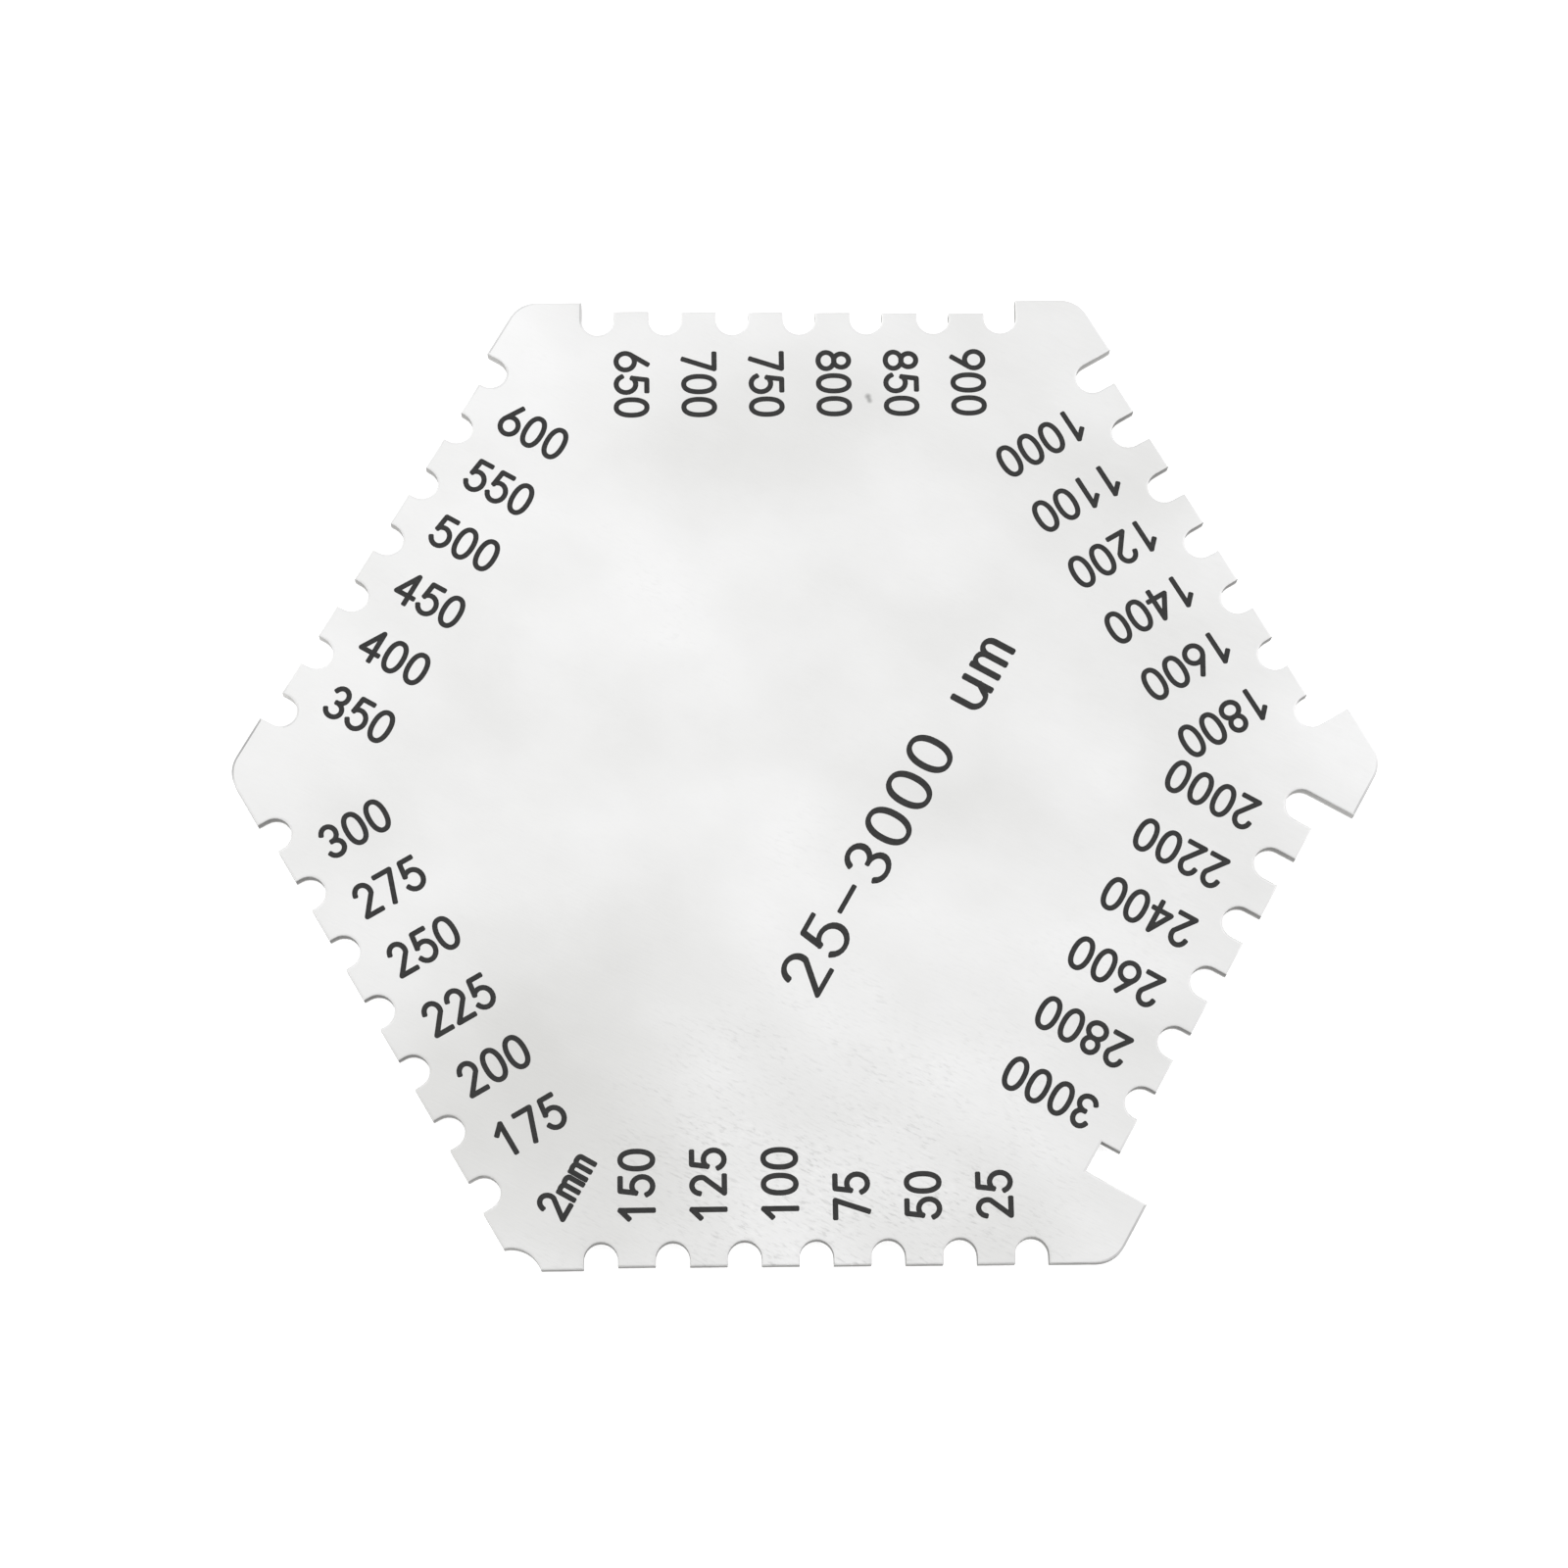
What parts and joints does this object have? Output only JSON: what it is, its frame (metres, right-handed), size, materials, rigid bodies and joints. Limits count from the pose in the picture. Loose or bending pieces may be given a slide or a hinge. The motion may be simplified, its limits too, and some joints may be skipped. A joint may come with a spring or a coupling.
{
  "type": "wet film comb gauge",
  "caption": "Flat hexagonal steel comb gauge with stepped teeth on every side, for reading the thickness of wet paint film.",
  "frame": {"origin": "centre of the hexagon on the back face", "axes": "+Z out of the marked face, +X through the corner between the 1800 and 2000 teeth, +Y out of the side with the 650 to 900 teeth"},
  "size_m": [0.0744, 0.065, 0.001],
  "materials": {
    "brushed_steel": "fine one-way brushed, satin"
  },
  "bodies": {
    "root": {"gauge_plate": "brushed_steel"}
  },
  "joints": []
}
